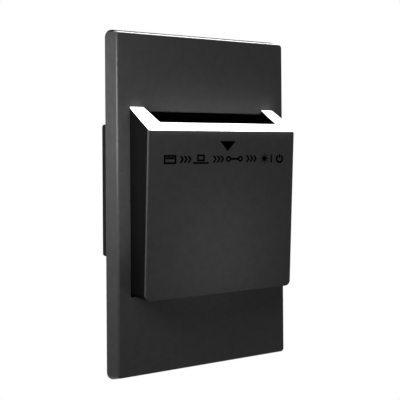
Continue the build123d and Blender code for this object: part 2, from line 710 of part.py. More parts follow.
with BuildPart() as terminal_bars:
    for x in pole_xs:
        block(x - bar_w / 2, x + bar_w / 2, board_y - pin_out, clamp_y - clamp_l / 2,
              clamp_z - bar_t / 2, clamp_z + bar_t / 2)
terminal_bars.part.label = "terminal_bars"
export_step(terminal_bars.part, "parts/terminal_bars.step")

# Rear housing, open at the front, with bosses for its screws
with BuildPart() as rear_housing:
    block(-housing_w / 2, housing_w / 2, 0, housing_depth, housing_low_z, housing_top_z)
    fillet(rear_housing.edges().filter_by(Axis.Y), housing_corner_r)
    fillet(rear_housing.faces().sort_by(Axis.Y)[-1].edges(), housing_corner_r / 2)
    block(-housing_in_x, housing_in_x, -overrun, housing_depth - housing_wall,
          housing_in_low_z, housing_in_top_z, Mode.SUBTRACT)
    for x, z in corner_bosses:
        rod_y(x, z, chassis_t + fit_gap, chassis_t + housing_screw_l, boss_r)
    for x, z in corner_bosses:
        rod_y(x, z, -overrun, housing_screw_l + fit_gap, housing_screw_r + fit_gap, Mode.SUBTRACT)
    for x in pole_xs:
        rod_z(x, clamp_y, housing_low_z - overrun, housing_in_low_z + overrun, wire_hole_r, Mode.SUBTRACT)
        rod_y(x, clamp_z, housing_depth - housing_wall - overrun, housing_depth + overrun, driver_hole_r,
              Mode.SUBTRACT)
    for i in range(vent_count):
        x = (i - (vent_count - 1) / 2) * vent_pitch
        block(x - vent_w / 2, x + vent_w / 2, housing_depth - housing_wall - overrun, housing_depth + overrun,
              vent_z - vent_h / 2, vent_z + vent_h / 2, Mode.SUBTRACT)
rear_housing.part.label = "rear_housing"
export_step(rear_housing.part, "parts/rear_housing.step")

# Chassis that closes the housing and carries the lever's ears and the board's posts
with BuildPart() as chassis:
    block(-housing_in_x + seam, housing_in_x - seam, 0, chassis_t, housing_in_low_z + seam,
          housing_in_top_z - seam)
    block(left_ear[1], right_ear[0], -overrun, chassis_t + overrun, pivot_z - lever_arm_l - overrun,
          pivot_z + lever_hub_r + overrun, Mode.SUBTRACT)
    block(right_ear[0] - overrun, switch_x1 + free_gap, -overrun, chassis_t + overrun,
          switch_low_z - free_gap, switch_top_z + free_gap, Mode.SUBTRACT)
    for ear in (left_ear, right_ear):
        block(*ear, -ear_front, ear_back, *ear_z)
    rod_x(pivot_y, pivot_z, left_ear[0] - overrun, right_ear[1] + overrun, lever_pin_r + fit_gap,
          Mode.SUBTRACT)
    for x, z in board_screws_at:
        rod_y(x, z, chassis_t, board_y, post_r)
        rod_y(x, z, chassis_t, board_y + overrun, board_screw_r + fit_gap, Mode.SUBTRACT)
    for x, z in corner_bosses:
        rod_y(x, z, -overrun, chassis_t + overrun, housing_screw_r + fit_gap, Mode.SUBTRACT)
    header_half_w = 3 * header_pitch / 2
    block(-header_half_w, header_half_w, -overrun, chassis_t + overrun, header_z - header_h / 2 - free_gap,
          header_z + header_h / 2 + free_gap, Mode.SUBTRACT)
chassis.part.label = "chassis"
export_step(chassis.part, "parts/chassis.step")

# Screws that join strap, chassis and housing
with BuildPart() as housing_screws:
    for x, z in corner_bosses:
        screw_y(x, z, -strap_t, housing_screw_l - strap_t, housing_screw_r, housing_screw_head_r,
                housing_screw_head_h)
housing_screws.part.label = "housing_screws"
export_step(housing_screws.part, "parts/housing_screws.step")

# Card lever: hub, arm, nose in the card's way, paddle on the switch, seat for the spring
arm_back_y = 2 * pivot_y / 3
arm_front_y = arm_back_y - lever_arm_t
with BuildPart() as card_lever:
    rod_x(pivot_y, pivot_z, -lever_w / 2, lever_w / 2, lever_hub_r)
    block(-lever_w / 2, lever_w / 2, arm_front_y, arm_back_y, pivot_z - lever_arm_l, pivot_z)
    tip_y = pivot_y - nose_reach
    tip_z = pivot_z - nose_drop
    with BuildSketch(Plane.YZ.offset(-nose_w / 2)):
        with BuildLine():
            Polyline((arm_back_y, nose_root_z), (arm_front_y, nose_root_z), (tip_y, tip_z),
                     (arm_front_y, pivot_z - lever_arm_l), (arm_back_y, pivot_z - lever_arm_l), close=True)
        make_face()
        fillet(vertices().sort_by(Axis.X)[0], nose_tip_r)
    extrude(amount=nose_w)
    block(0, switch_x + paddle_over, arm_front_y, arm_back_y, plunger_z - paddle_over,
          plunger_z + paddle_over)
    seat_back_y = pivot_y + spring_r - spring_wire_r - fit_gap
    block(-lever_w / 2 - seat_w, 0, arm_front_y, seat_back_y, seat_z - seat_h / 2, seat_z + seat_h / 2)
    rod_x(pivot_y, pivot_z, -lever_w, lever_w, lever_pin_r + fit_gap, Mode.SUBTRACT)
card_lever.part.label = "card_lever"
export_step(card_lever.part, "parts/card_lever.step")

# Steel pin that the lever turns on
with BuildPart() as lever_pin:
    rod_x(pivot_y, pivot_z, left_ear[0], right_ear[1], lever_pin_r)
lever_pin.part.label = "lever_pin"
export_step(lever_pin.part, "parts/lever_pin.step")

# Torsion spring round the pin, one leg on the lever's seat and one on the chassis
spring_x = -lever_w / 2 - ear_gap - spring_wire_r


def spring_point(half_turns, radius):
    """A point of the coil, counted in half turns from its start at the back."""
    angle = half_turns * pi
    return (spring_x - spring_pitch * half_turns / 2, pivot_y + radius * cos(angle),
            pivot_z + radius * sin(angle))


with BuildPart() as lever_spring:
    mid_r = hypot(spring_r, spring_pitch / 4)
    with BuildLine() as spring_path:
        start = spring_point(0, spring_r)
        Line((start[0], start[1], start[2] - spring_leg - spring_r), start)
        for k in range(2 * spring_turns):
            ThreePointArc(spring_point(k, spring_r), spring_point(k + 1 / 2, mid_r),
                          spring_point(k + 1, spring_r))
        end = spring_point(2 * spring_turns, spring_r)
        Line(end, (end[0], end[1], end[2] + spring_leg))
    leg_foot = (start[0], start[1], start[2] - spring_leg - spring_r)
    with BuildSketch(Plane(origin=leg_foot, z_dir=(0, 0, 1))):
        Circle(spring_wire_r)
    sweep(path=spring_path.wires()[0])
print("lever spring: least gap between turns", round(spring_pitch - 2 * spring_wire_r, 3), "mm")
lever_spring.part.label = "lever_spring"
export_step(lever_spring.part, "parts/lever_spring.step")

# Limit switch: case, cover, plunger, contact blade and terminals
case_back_y = board_y
collar_y = switch_front_y + switch_wall + fit_gap
plunger_foot_y = collar_y + plunger_collar_t + 2 * plunger_collar_t
blade_y = plunger_foot_y + 2 * fit_gap
blade_pivot_z = switch_low_z + switch_wall + 2 * switch_pin_w
blade_end_z = switch_top_z - switch_wall - free_gap
with BuildPart() as switch_case:
    block(switch_x0 + switch_wall, switch_x1, switch_front_y, case_back_y, switch_low_z, switch_top_z)
    block(switch_x0, switch_x1 - switch_wall, switch_front_y + switch_wall, case_back_y - switch_wall,
          switch_low_z + switch_wall, switch_top_z - switch_wall, Mode.SUBTRACT)
    rod_y(switch_x, plunger_z, switch_front_y - overrun, switch_front_y + switch_wall + overrun,
          plunger_r + fit_gap, Mode.SUBTRACT)
    for z in (blade_pivot_z, plunger_z - plunger_r, switch_top_z - 2 * switch_pin_w):
        block(switch_x - switch_pin_w / 2 - fit_gap, switch_x + switch_pin_w / 2 + fit_gap,
              case_back_y - switch_wall - overrun, case_back_y + overrun,
              z - switch_pin_w / 4 - fit_gap, z + switch_pin_w / 4 + fit_gap, Mode.SUBTRACT)
switch_case.part.label = "switch_case"
export_step(switch_case.part, "parts/switch_case.step")

with BuildPart() as switch_cover:
    block(switch_x0, switch_x0 + switch_wall, switch_front_y, case_back_y, switch_low_z, switch_top_z)
switch_cover.part.label = "switch_cover"
export_step(switch_cover.part, "parts/switch_cover.step")

plunger_top_y = arm_back_y + fit_gap
with BuildPart() as switch_plunger:
    rod_y(switch_x, plunger_z, plunger_top_y + plunger_r, collar_y + plunger_collar_t / 2, plunger_r)
    rod_y(switch_x, plunger_z, collar_y + plunger_collar_t / 2, plunger_foot_y, plunger_foot_r)
    with Locations((switch_x, plunger_top_y + plunger_r, plunger_z)):
        Sphere(plunger_r)
    rod_y(switch_x, plunger_z, collar_y, collar_y + plunger_collar_t, plunger_collar_r)
switch_plunger.part.label = "switch_plunger"
export_step(switch_plunger.part, "parts/switch_plunger.step")

with BuildPart() as switch_blade:
    block(switch_x - blade_w / 2, switch_x + blade_w / 2, blade_y, blade_y + blade_t, blade_pivot_z,
          blade_end_z)
    rod_y(switch_x, blade_end_z - contact_r, blade_y + blade_t, blade_y + blade_t + contact_t, contact_r)
switch_blade.part.label = "switch_blade"
export_step(switch_blade.part, "parts/switch_blade.step")

plunger_travel = (pivot_z - plunger_z) * sin(radians(lever_travel_deg))
blade_arm = plunger_z - blade_pivot_z
contact_arm = blade_end_z - contact_r - blade_pivot_z
contact_stop_y = blade_y + blade_t + contact_t + plunger_travel * contact_arm / blade_arm + 2 * fit_gap
with BuildPart() as switch_terminals:
    half = switch_pin_w / 2
    thin = switch_pin_w / 4
    end_y = board_back_y + pin_out
    low_y = blade_y + blade_t + fit_gap
    block(switch_x - half, switch_x + half, low_y, end_y, blade_pivot_z - thin, blade_pivot_z + thin)
    no_z = switch_top_z - 2 * switch_pin_w
    block(switch_x - half, switch_x + half, contact_stop_y + contact_t, end_y, no_z - thin, no_z + thin)
    rod_y(switch_x, blade_end_z - contact_r, contact_stop_y, contact_stop_y + contact_t + fit_gap, contact_r)
    nc_z = plunger_z - plunger_r
    block(switch_x - half, switch_x + half, case_back_y - switch_wall, end_y, nc_z - thin, nc_z + thin)
switch_terminals.part.label = "switch_terminals"
export_step(switch_terminals.part, "parts/switch_terminals.step")

# Power relay on the board's back: base, coil, yoke, armature, contacts and case
relay_back_y = board_back_y + relay_h
base_back_y = board_back_y + relay_base_t
yoke_low_z = relay_low_z + relay_wall + free_gap
coil_flange_r = relay_w / 2 - relay_wall - free_gap - fit_gap
coil_z = yoke_low_z + yoke_t + 2 * free_gap + coil_flange_r
bobbin_r = core_r + bobbin_t
moving_contact_z = relay_top_z - relay_wall - relay_contact_in
coil_front_y = base_back_y + yoke_t
core_back_y = relay_back_y - relay_wall - free_gap - 2 * relay_contact_t - armature_t - pole_gap
armature_y = core_back_y + pole_gap
hinge_z = yoke_low_z + yoke_t / 2
relay_pins = [(relay_x + sx * yoke_w / 2, coil_z + coil_flange_r + relay_wall) for sx in (-1, 1)]

with BuildPart() as relay_base:
    block(relay_x0, relay_x1, board_back_y, base_back_y, relay_low_z, relay_top_z)
    for x, z in relay_pins:
        rod_y(x, z, board_back_y - overrun, base_back_y + overrun, switch_pin_w / 2 + fit_gap, Mode.SUBTRACT)
    for z in (moving_contact_z, relay_top_z - relay_wall - 2 * free_gap):
        block(relay_x - relay_blade_w / 2 - fit_gap, relay_x + relay_blade_w / 2 + fit_gap,
              board_back_y - overrun, base_back_y + overrun, z - relay_blade_t - fit_gap,
              z + relay_blade_t + fit_gap, Mode.SUBTRACT)
relay_base.part.label = "relay_base"
export_step(relay_base.part, "parts/relay_base.step")

with BuildPart() as relay_case:
    block(relay_x0, relay_x1, base_back_y, relay_back_y, relay_low_z, relay_top_z)
    block(relay_x0 + relay_wall, relay_x1 - relay_wall, base_back_y - overrun, relay_back_y - relay_wall,
          relay_low_z + relay_wall, relay_top_z - relay_wall, Mode.SUBTRACT)
relay_case.part.label = "relay_case"
export_step(relay_case.part, "parts/relay_case.step")

with BuildPart() as relay_yoke:
    yoke_x = (relay_x - yoke_w / 2, relay_x + yoke_w / 2)
    block(*yoke_x, base_back_y, coil_front_y, yoke_low_z, coil_z + bobbin_r)
    block(*yoke_x, base_back_y, armature_y - seam, yoke_low_z, yoke_low_z + yoke_t)
    rod_y(relay_x, coil_z, coil_front_y, core_back_y, core_r)
relay_yoke.part.label = "relay_yoke"
export_step(relay_yoke.part, "parts/relay_yoke.step")

bobbin_back_y = core_back_y - core_proud
with BuildPart() as relay_bobbin:
    rod_y(relay_x, coil_z, coil_front_y, bobbin_back_y, bobbin_r)
    for y in (coil_front_y, bobbin_back_y - coil_flange_t):
        rod_y(relay_x, coil_z, y, y + coil_flange_t, coil_flange_r)
    rod_y(relay_x, coil_z, coil_front_y - overrun, core_back_y + overrun, core_r + fit_gap, Mode.SUBTRACT)
relay_bobbin.part.label = "relay_bobbin"
export_step(relay_bobbin.part, "parts/relay_bobbin.step")

with BuildPart() as relay_winding:
    winding_y = (coil_front_y + coil_flange_t + fit_gap, bobbin_back_y - coil_flange_t - fit_gap)
    rod_y(relay_x, coil_z, *winding_y, coil_flange_r - winding_under)
    rod_y(relay_x, coil_z, winding_y[0] - overrun, winding_y[1] + overrun, bobbin_r + fit_gap, Mode.SUBTRACT)
relay_winding.part.label = "relay_winding"
export_step(relay_winding.part, "parts/relay_winding.step")

blade_back_y = armature_y + armature_t
with BuildPart() as relay_armature:
    block(relay_x - yoke_w / 2, relay_x + yoke_w / 2, armature_y, blade_back_y, yoke_low_z,
          yoke_low_z + armature_l)
relay_armature.part.label = "relay_armature"
export_step(relay_armature.part, "parts/relay_armature.step")

with BuildPart() as relay_contact_blade:
    block(relay_x - relay_blade_w / 2, relay_x + relay_blade_w / 2, blade_back_y,
          blade_back_y + relay_blade_t, hinge_z + yoke_t, moving_contact_z + relay_contact_r)
    rod_y(relay_x, moving_contact_z, blade_back_y - relay_contact_t, blade_back_y, relay_contact_r)
relay_contact_blade.part.label = "relay_contact_blade"
export_step(relay_contact_blade.part, "parts/relay_contact_blade.step")

armature_swing = (moving_contact_z + relay_contact_r - hinge_z) * tan(radians(armature_travel_deg))
fixed_contact_y = blade_back_y - relay_contact_t - armature_swing - 2 * fit_gap
stop_y = blade_back_y + relay_blade_t + fit_gap
with BuildPart() as relay_terminals:
    half = relay_blade_w / 2
    thin = relay_blade_t
    block(relay_x - half, relay_x + half, board_y - pin_out, fixed_contact_y - relay_contact_t,
          moving_contact_z - thin, moving_contact_z + thin)
    rod_y(relay_x, moving_contact_z, fixed_contact_y - relay_contact_t - fit_gap, fixed_contact_y,
          relay_contact_r)
    far_z = relay_top_z - relay_wall - 2 * free_gap
    strip_y = stop_y + relay_contact_t / 2
    block(relay_x - half, relay_x + half, board_y - pin_out, strip_y + thin, far_z - thin, far_z + thin)
    block(relay_x - half, relay_x + half, strip_y, strip_y + thin, moving_contact_z - relay_contact_r, far_z)
    rod_y(relay_x, moving_contact_z, stop_y, strip_y + fit_gap, relay_contact_r)
    for x, z in relay_pins:
        rod_y(x, z, board_y - pin_out, base_back_y + pin_out, switch_pin_w / 2)
relay_terminals.part.label = "relay_terminals"
export_step(relay_terminals.part, "parts/relay_terminals.step")

# Loose parts on the board's back
with BuildPart() as film_capacitor:
    block(cap_x - cap_w / 2, cap_x + cap_w / 2, board_back_y, board_back_y + cap_h, cap_z - cap_l / 2,
          cap_z + cap_l / 2)
    fillet(film_capacitor.edges().filter_by(Axis.Y), electro_r / 8)
    for sz in (-1, 1):
        rod_y(cap_x, cap_z + sz * (cap_l / 2 - lead_r * 4), board_y - pin_out, board_back_y, lead_r)
film_capacitor.part.label = "film_capacitor"
export_step(film_capacitor.part, "parts/film_capacitor.step")

with BuildPart() as electrolytic_capacitor:
    rod_y(middle_x, electro_z, board_back_y, board_back_y + electro_h, electro_r)
    fillet(electrolytic_capacitor.edges().filter_by(GeomType.CIRCLE), electro_r / 8)
    for sx in (-1, 1):
        rod_y(middle_x + sx * electro_r / 2, electro_z, board_y - pin_out, board_back_y, lead_r)
electrolytic_capacitor.part.label = "electrolytic_capacitor"
export_step(electrolytic_capacitor.part, "parts/electrolytic_capacitor.step")

with BuildPart() as varistor:
    disc_y = board_back_y + varistor_r + lead_r * 4
    with Locations(Location((varistor_x, disc_y, varistor_z), (0, 0, 0))):
        Cylinder(varistor_r, varistor_t)
    fillet(varistor.edges().filter_by(GeomType.CIRCLE), varistor_t / 4)
    for sx in (-1, 1):
        rod_y(varistor_x + sx * varistor_pin_x, varistor_z, board_y - pin_out, disc_y - varistor_r / 2,
              lead_r)
varistor.part.label = "varistor"
export_step(varistor.part, "parts/varistor.step")

fuse_y = board_back_y + fuse_lift
with BuildPart() as fuse:
    rod_x(fuse_y, fuse_z, fuse_x - fuse_l / 2, fuse_x + fuse_l / 2, fuse_r)
fuse.part.label = "fuse"
export_step(fuse.part, "parts/fuse.step")

with BuildPart() as fuse_clips:
    for side in (-1, 1):
        clip_x = fuse_x + side * (fuse_l / 2 - fuse_cap_l / 2)
        x0, x1 = clip_x - fuse_cap_l / 2 + clip_t, clip_x + fuse_cap_l / 2 - clip_t
        outer = fuse_r + fit_gap + clip_t
        block(x0, x1, board_back_y, fuse_y + fuse_r / 2, fuse_z - outer, fuse_z + outer)
        rod_x(fuse_y, fuse_z, x0 - overrun, x1 + overrun, fuse_r + fit_gap, Mode.SUBTRACT)
        block(x0 - overrun, x1 + overrun, fuse_y, fuse_y + fuse_r, fuse_z - fuse_r, fuse_z + fuse_r,
              Mode.SUBTRACT)
        rod_y(clip_x, fuse_z, board_y - pin_out, board_back_y + clip_t, lead_r)
fuse_clips.part.label = "fuse_clips"
export_step(fuse_clips.part, "parts/fuse_clips.step")

with BuildPart() as bridge_rectifier:
    block(middle_x - bridge_w / 2, middle_x + bridge_w / 2, board_back_y, board_back_y + bridge_h,
          bridge_z - bridge_l / 2, bridge_z + bridge_l / 2)
    chamfer(bridge_rectifier.faces().sort_by(Axis.Y)[-1].edges(), bridge_h / 10)
    for sx in (-1, 1):
        for sz in (-1, 1):
            rod_y(middle_x + sx * bridge_w / 3, bridge_z + sz * bridge_l / 4, board_y - pin_out,
                  board_back_y, lead_r)
bridge_rectifier.part.label = "bridge_rectifier"
export_step(bridge_rectifier.part, "parts/bridge_rectifier.step")

with BuildPart() as control_chip:
    block(middle_x - chip_w / 2, middle_x + chip_w / 2, board_back_y, board_back_y + chip_h,
          chip_z - chip_l / 2, chip_z + chip_l / 2)
    chamfer(control_chip.faces().sort_by(Axis.Y)[-1].edges(), chip_h / 10)
control_chip.part.label = "control_chip"
export_step(control_chip.part, "parts/control_chip.step")

with BuildPart() as resistors:
    for z in resistor_zs:
        rod_x(board_back_y + resistor_r, z, middle_x - resistor_l / 2, middle_x + resistor_l / 2, resistor_r)
resistors.part.label = "resistors"
export_step(resistors.part, "parts/resistors.step")

# Lamp board on the mounting frame, with a lamp behind each end of the lit rim
with BuildPart() as lamp_board:
    half = lamp_x + lamp_w
    block(-half, half, lamp_board_front_y, frame_y, lamp_board_z, lamp_board_z + lamp_board_h)
    block(-lamp_tab_w / 2, lamp_tab_w / 2, lamp_board_front_y, frame_y, header_z - lamp_tab_under,
          lamp_board_z + lamp_board_h / 2)
    for x in header_xs:
        side = header_pin_w / 2 + fit_gap
        block(x - side, x + side, lamp_board_front_y - overrun, frame_y + overrun,
              header_z - side, header_z + side, Mode.SUBTRACT)
lamp_board.part.label = "lamp_board"
export_step(lamp_board.part, "parts/lamp_board.step")

with BuildPart() as lamps:
    for x, z in lamps_at:
        block(x - lamp_w / 2, x + lamp_w / 2, lamp_board_front_y - lamp_t, lamp_board_front_y,
              z - lamp_h / 2, z + lamp_h / 2)
lamps.part.label = "lamps"
export_step(lamps.part, "parts/lamps.step")

with BuildPart() as header_body:
    block(-header_half_w, header_half_w, board_y - header_d, board_y, header_z - header_h / 2,
          header_z + header_h / 2)
    for x in header_xs:
        side = header_pin_w / 2 + fit_gap
        block(x - side, x + side, board_y - header_d - overrun, board_y + overrun,
              header_z - side, header_z + side, Mode.SUBTRACT)
header_body.part.label = "header_body"
export_step(header_body.part, "parts/header_body.step")

with BuildPart() as header_pins:
    for x in header_xs:
        side = header_pin_w / 2
        block(x - side, x + side, lamp_board_front_y, board_back_y + pin_out, header_z - side,
              header_z + side)
header_pins.part.label = "header_pins"
export_step(header_pins.part, "parts/header_pins.step")

# Main circuit board, with a hole for each soldered pin
with BuildPart() as circuit_board:
    block(-housing_in_x + board_gap, housing_in_x - board_gap, board_y, board_back_y,
          housing_in_low_z + board_gap, housing_in_top_z - board_gap)
    cut = (board_y - overrun, board_back_y + overrun)
    for x, z in corner_bosses:
        notch = boss_r + board_gap
        x_out = x + notch if x > 0 else x - notch
        z_out = z + notch if z > housing_z else z - notch
        rod_y(x, z, *cut, notch, Mode.SUBTRACT)
        block(min(x - notch, x_out), max(x_out, x + notch), *cut, *sorted((z, z_out)), Mode.SUBTRACT)
        block(*sorted((x, x_out)), *cut, min(z - notch, z_out), max(z_out, z + notch), Mode.SUBTRACT)
    for x, z in board_screws_at:
        rod_y(x, z, *cut, board_screw_r + fit_gap, Mode.SUBTRACT)
    round_pins = [(cap_x, cap_z + sz * (cap_l / 2 - lead_r * 4)) for sz in (-1, 1)]
    round_pins += [(middle_x + sx * electro_r / 2, electro_z) for sx in (-1, 1)]
    round_pins += [(varistor_x + sx * varistor_pin_x, varistor_z) for sx in (-1, 1)]
    round_pins += [(fuse_x + sx * (fuse_l / 2 - fuse_cap_l / 2), fuse_z) for sx in (-1, 1)]
    round_pins += [(middle_x + sx * bridge_w / 3, bridge_z + sz * bridge_l / 4)
                   for sx in (-1, 1) for sz in (-1, 1)]
    for x, z in round_pins:
        rod_y(x, z, *cut, lead_r + fit_gap, Mode.SUBTRACT)
    for x, z in relay_pins:
        rod_y(x, z, *cut, switch_pin_w / 2 + fit_gap, Mode.SUBTRACT)
    for x in header_xs:
        side = header_pin_w / 2 + fit_gap
        block(x - side, x + side, *cut, header_z - side, header_z + side, Mode.SUBTRACT)
    for z in (blade_pivot_z, nc_z, no_z):
        half = switch_pin_w / 2 + fit_gap
        thin = switch_pin_w / 4 + fit_gap
        block(switch_x - half, switch_x + half, *cut, z - thin, z + thin, Mode.SUBTRACT)
    for z in (moving_contact_z, far_z):
        half = relay_blade_w / 2 + fit_gap
        thin = relay_blade_t + fit_gap
        block(relay_x - half, relay_x + half, *cut, z - thin, z + thin, Mode.SUBTRACT)
    for x in pole_xs:
        half = bar_w / 2 + fit_gap
        thin = bar_t / 2 + fit_gap
        block(x - half, x + half, *cut, clamp_z - thin, clamp_z + thin, Mode.SUBTRACT)
circuit_board.part.label = "circuit_board"
export_step(circuit_board.part, "parts/circuit_board.step")

# Screws that fix the board to the chassis posts
with BuildPart() as board_screws:
    for x, z in board_screws_at:
        screw_y(x, z, board_back_y, chassis_t + board_screw_r, board_screw_r, board_screw_head_r,
                board_screw_head_h)
board_screws.part.label = "board_screws"
export_step(board_screws.part, "parts/board_screws.step")
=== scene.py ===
import bmesh
import bpy
import json
from math import cos, pi, radians, sin
from mathutils import Matrix, Vector


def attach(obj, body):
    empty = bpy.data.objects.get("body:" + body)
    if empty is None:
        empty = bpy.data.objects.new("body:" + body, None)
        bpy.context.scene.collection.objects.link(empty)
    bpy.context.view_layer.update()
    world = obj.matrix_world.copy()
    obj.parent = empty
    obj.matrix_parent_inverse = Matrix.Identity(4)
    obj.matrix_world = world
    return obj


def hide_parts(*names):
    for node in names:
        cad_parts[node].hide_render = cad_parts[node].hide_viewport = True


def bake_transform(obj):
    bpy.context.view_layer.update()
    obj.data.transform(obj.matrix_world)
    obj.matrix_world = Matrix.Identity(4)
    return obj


# Looks of the hotel key card switch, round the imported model.
# Lengths are written in millimetres and multiplied by MM, because Blender works in metres.

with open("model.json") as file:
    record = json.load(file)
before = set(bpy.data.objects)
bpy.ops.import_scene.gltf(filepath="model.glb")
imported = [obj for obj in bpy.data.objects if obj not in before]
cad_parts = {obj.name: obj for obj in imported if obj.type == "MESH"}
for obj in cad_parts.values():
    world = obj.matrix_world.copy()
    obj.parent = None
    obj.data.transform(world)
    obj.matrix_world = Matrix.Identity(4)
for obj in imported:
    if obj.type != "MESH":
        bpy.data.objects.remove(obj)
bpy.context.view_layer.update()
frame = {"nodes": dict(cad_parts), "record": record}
nodes = frame["nodes"]
MM = 0.001
WHITE = (1, 1, 1, 1)


# Materials: helpers
def link_object(name, data):
    """A new object in the scene."""
    thing = bpy.data.objects.new(name, data)
    bpy.context.scene.collection.objects.link(thing)
    return thing


def new_material(name):
    """An empty material with a Principled shader, and its node tree."""
    material = bpy.data.materials.new(name)
    material.use_nodes = True
    tree = material.node_tree
    return material, tree, tree.nodes["Principled BSDF"]


def coordinates(tree, stretch=(1, 1, 1)):
    """Object coordinates, stretched for brushed or drawn finishes."""
    place = tree.nodes.new("ShaderNodeTexCoord")
    mapping = tree.nodes.new("ShaderNodeMapping")
    mapping.inputs["Scale"].default_value = stretch
    tree.links.new(place.outputs["Object"], mapping.inputs["Vector"])
    return mapping.outputs["Vector"]


def noise(tree, vector, size_mm, detail=2.0, roughness=0.5):
    """Noise whose blobs are about size_mm across."""
    texture = tree.nodes.new("ShaderNodeTexNoise")
    texture.inputs["Scale"].default_value = 1 / (size_mm * MM)
    texture.inputs["Detail"].default_value = detail
    texture.inputs["Roughness"].default_value = roughness
    tree.links.new(vector, texture.inputs["Vector"])
    return texture.outputs["Fac"]


def combine(tree, operation, first, second):
    """Result of a math node on a value and a second value or number."""
    node = tree.nodes.new("ShaderNodeMath")
    node.operation = operation
    tree.links.new(first, node.inputs[0])
    if isinstance(second, float):
        node.inputs[1].default_value = second
    else:
        tree.links.new(second, node.inputs[1])
    return node.outputs[0]


def axes_of(tree, output):
    """The x, y and z of the object coordinates' Object or Normal output."""
    place = tree.nodes.new("ShaderNodeTexCoord")
    axes = tree.nodes.new("ShaderNodeSeparateXYZ")
    tree.links.new(place.outputs[output], axes.inputs["Vector"])
    return axes.outputs


def spread(tree, value, low, high):
    """A noise value, mostly 0.3 to 0.7, spread to the range low to high."""
    span = tree.nodes.new("ShaderNodeMapRange")
    span.inputs["From Min"].default_value = 0.3
    span.inputs["From Max"].default_value = 0.7
    span.inputs["To Min"].default_value = low
    span.inputs["To Max"].default_value = high
    tree.links.new(value, span.inputs["Value"])
    return span.outputs["Result"]


def tint(tree, shader, value, color, change):
    """Base colour that varies with a noise value, by a share either side of color."""
    mix = tree.nodes.new("ShaderNodeMix")
    mix.data_type = "RGBA"
    mix.inputs["A"].default_value = (*[c * (1 - change) for c in color], 1)
    mix.inputs["B"].default_value = (*[min(1, c * (1 + change)) for c in color], 1)
    tree.links.new(spread(tree, value, 0, 1), mix.inputs["Factor"])
    tree.links.new(mix.outputs["Result"], shader.inputs["Base Color"])
    return mix


def roughen(tree, shader, value, low, high):
    """Roughness that varies with a noise value."""
    tree.links.new(spread(tree, value, low, high), shader.inputs["Roughness"])


def soft_edges(tree, radius_mm):
    """Normals that shade edges as if they had a small round."""
    node = tree.nodes.new("ShaderNodeBevel")
    node.samples = 4
    node.inputs["Radius"].default_value = radius_mm * MM
    return node.outputs["Normal"]


def bump(tree, shader, value, depth_mm, under=None):
    """Bump of a real depth, on top of other normals if there are any."""
    node = tree.nodes.new("ShaderNodeBump")
    node.inputs["Distance"].default_value = depth_mm * MM
    tree.links.new(value, node.inputs["Height"])
    if under is not None:
        tree.links.new(under, node.inputs["Normal"])
    tree.links.new(node.outputs["Normal"], shader.inputs["Normal"])


# Materials: kinds
MOULDED_EDGE_MM = 0.25
MOULDED_SHINIER = 0.05
MOULDED_DULLER = 0.06
METAL_EDGE_MM = 0.08
METAL_SHINIER = 0.08
METAL_DULLER = 0.1


def plastic(name, color, roughness, specular, grain_mm=0.35, depth_mm=0.006, change=0.06, flow_mm=18.0):
    """Moulded plastic with a fine spark-eroded grain and faint flow marks."""
    material, tree, shader = new_material(name)
    vector = coordinates(tree)
    grain = noise(tree, vector, grain_mm, detail=3.0, roughness=0.6)
    flow = noise(tree, vector, flow_mm, detail=3.0, roughness=0.6)
    tint(tree, shader, flow, color, change)
    roughen(tree, shader, grain, roughness - MOULDED_SHINIER, roughness + MOULDED_DULLER)
    shader.inputs["Specular IOR Level"].default_value = specular
    bump(tree, shader, grain, depth_mm, soft_edges(tree, MOULDED_EDGE_MM))
    return material


def metal(name, color, roughness, stretch=(1, 1, 1)):
    """Plated or bare metal, brushed or drawn along the axis that is stretched least."""
    material, tree, shader = new_material(name)
    grain = noise(tree, coordinates(tree, stretch), size_mm=0.25, detail=4.0, roughness=0.6)
    stain = noise(tree, coordinates(tree), size_mm=5.0)
    tint(tree, shader, stain, color, change=0.08)
    roughen(tree, shader, grain, roughness - METAL_SHINIER, roughness + METAL_DULLER)
    shader.inputs["Metallic"].default_value = 1.0
    bump(tree, shader, grain, depth_mm=0.002, under=soft_edges(tree, METAL_EDGE_MM))
    return material


# The charcoal mouldings: a strip along the back of the plate's top edge has its reflection switched off.
# This is painted shade that draws a dark line there.
DARK_LINE_DEPTH_MM = 2.9
DARK_LINE_ABOVE_MM = 66.2


def charcoal():
    """Charcoal plastic of the plate and the pocket's front panel."""
    material = plastic("charcoal_plastic", (0.017, 0.017, 0.0175), roughness=0.32, specular=0.12,
                       grain_mm=0.9, depth_mm=0.02, change=0.12, flow_mm=3.0)
    tree = material.node_tree
    shader = tree.nodes["Principled BSDF"]
    at = axes_of(tree, "Object")
    far_back = combine(tree, "GREATER_THAN", at["Y"], -DARK_LINE_DEPTH_MM * MM)
    high_up = combine(tree, "GREATER_THAN", at["Z"], DARK_LINE_ABOVE_MM * MM)
    # Painted shade: no reflection on the strip at the back of the plate's top edge, so it renders as a dark
    # line
    dark_line_reflection = tree.nodes.new("ShaderNodeMapRange")
    dark_line_reflection.inputs["To Min"].default_value = shader.inputs["Specular IOR Level"].default_value
    dark_line_reflection.inputs["To Max"].default_value = 0.0
    tree.links.new(combine(tree, "MULTIPLY", far_back, high_up), dark_line_reflection.inputs["Value"])
    tree.links.new(dark_line_reflection.outputs["Result"], shader.inputs["Specular IOR Level"])
    return material


# The rim's faces look inwards where x times the normal's x is under this
INWARD_LIMIT_MM = -15.0
PAINTED_BLACK = (0.001, 0.001, 0.001, 1)


